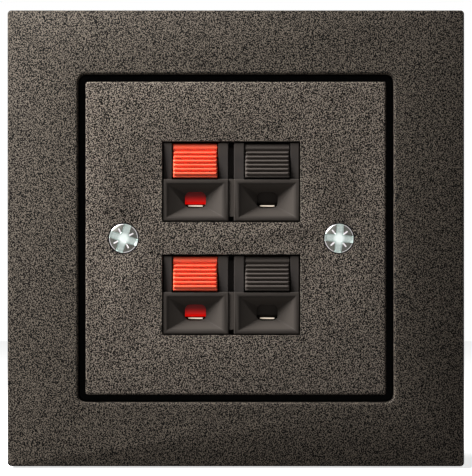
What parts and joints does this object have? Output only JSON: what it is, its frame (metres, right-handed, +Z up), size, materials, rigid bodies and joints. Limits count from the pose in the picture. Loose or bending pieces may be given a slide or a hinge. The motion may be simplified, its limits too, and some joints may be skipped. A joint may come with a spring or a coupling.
{
  "type": "speaker terminal plate",
  "caption": "Flush wall plate with stereo pairs of spring-lever speaker terminals, red and black, in a square cover frame, on a steel support frame for a round wall box.",
  "frame": {"origin": "centre of the wall-box screw pattern on the wall's face, on the axis of the plate screws' mid point", "axes": "+X to the right seen from the room, +Y into the wall, +Z up"},
  "size_m": [0.085, 0.0187, 0.0848],
  "materials": {
    "anthracite_lacquer": "fine grained metallic anthracite lacquer",
    "black_plastic": "satin moulded black",
    "red_plastic": "satin moulded red",
    "zinc_plated_steel": "bright zinc plated",
    "spring_steel": "plain rolled",
    "tinned_brass": "bright tinned",
    "phenolic_board": "brown fibre board"
  },
  "bodies": {
    "plate": {"cover_frame": "anthracite_lacquer", "centre_plate": "anthracite_lacquer", "support_frame": "zinc_plated_steel", "plate_screw_left": "zinc_plated_steel", "plate_screw_right": "zinc_plated_steel", "upper_terminal_body": "black_plastic", "upper_rear_board": "phenolic_board", "upper_fixing_screw_left": "zinc_plated_steel", "upper_fixing_screw_right": "zinc_plated_steel", "upper_red_contact": "tinned_brass", "upper_red_spring": "spring_steel", "upper_black_contact": "tinned_brass", "upper_black_spring": "spring_steel", "lower_terminal_body": "black_plastic", "lower_rear_board": "phenolic_board", "lower_fixing_screw_left": "zinc_plated_steel", "lower_fixing_screw_right": "zinc_plated_steel", "lower_red_contact": "tinned_brass", "lower_red_spring": "spring_steel", "lower_black_contact": "tinned_brass", "lower_black_spring": "spring_steel"},
    "upper_red_lever_body": {"upper_red_lever": "red_plastic"},
    "upper_black_lever_body": {"upper_black_lever": "black_plastic"},
    "lower_red_lever_body": {"lower_red_lever": "red_plastic"},
    "lower_black_lever_body": {"lower_black_lever": "black_plastic"}
  },
  "joints": [
    {"name": "upper_red_lever_press", "type": "hinge", "parent": "plate", "child": "upper_red_lever_body", "pos_m": [-0.0067, -0.0069, 0.0161], "axis": [1, 0, 0], "range_deg": [0, 16], "stiffness_Nm_per_rad": 0.05, "springref_deg": -28.65, "deforming": ["upper_red_spring"]},
    {"name": "upper_black_lever_press", "type": "hinge", "parent": "plate", "child": "upper_black_lever_body", "pos_m": [0.0067, -0.0069, 0.0161], "axis": [1, 0, 0], "range_deg": [0, 16], "stiffness_Nm_per_rad": 0.05, "springref_deg": -28.65, "deforming": ["upper_black_spring"]},
    {"name": "lower_red_lever_press", "type": "hinge", "parent": "plate", "child": "lower_red_lever_body", "pos_m": [-0.0067, -0.0069, -0.0049], "axis": [1, 0, 0], "range_deg": [0, 16], "stiffness_Nm_per_rad": 0.05, "springref_deg": -28.65, "deforming": ["lower_red_spring"]},
    {"name": "lower_black_lever_press", "type": "hinge", "parent": "plate", "child": "lower_black_lever_body", "pos_m": [0.0067, -0.0069, -0.0049], "axis": [1, 0, 0], "range_deg": [0, 16], "stiffness_Nm_per_rad": 0.05, "springref_deg": -28.65, "deforming": ["lower_black_spring"]}
  ]
}
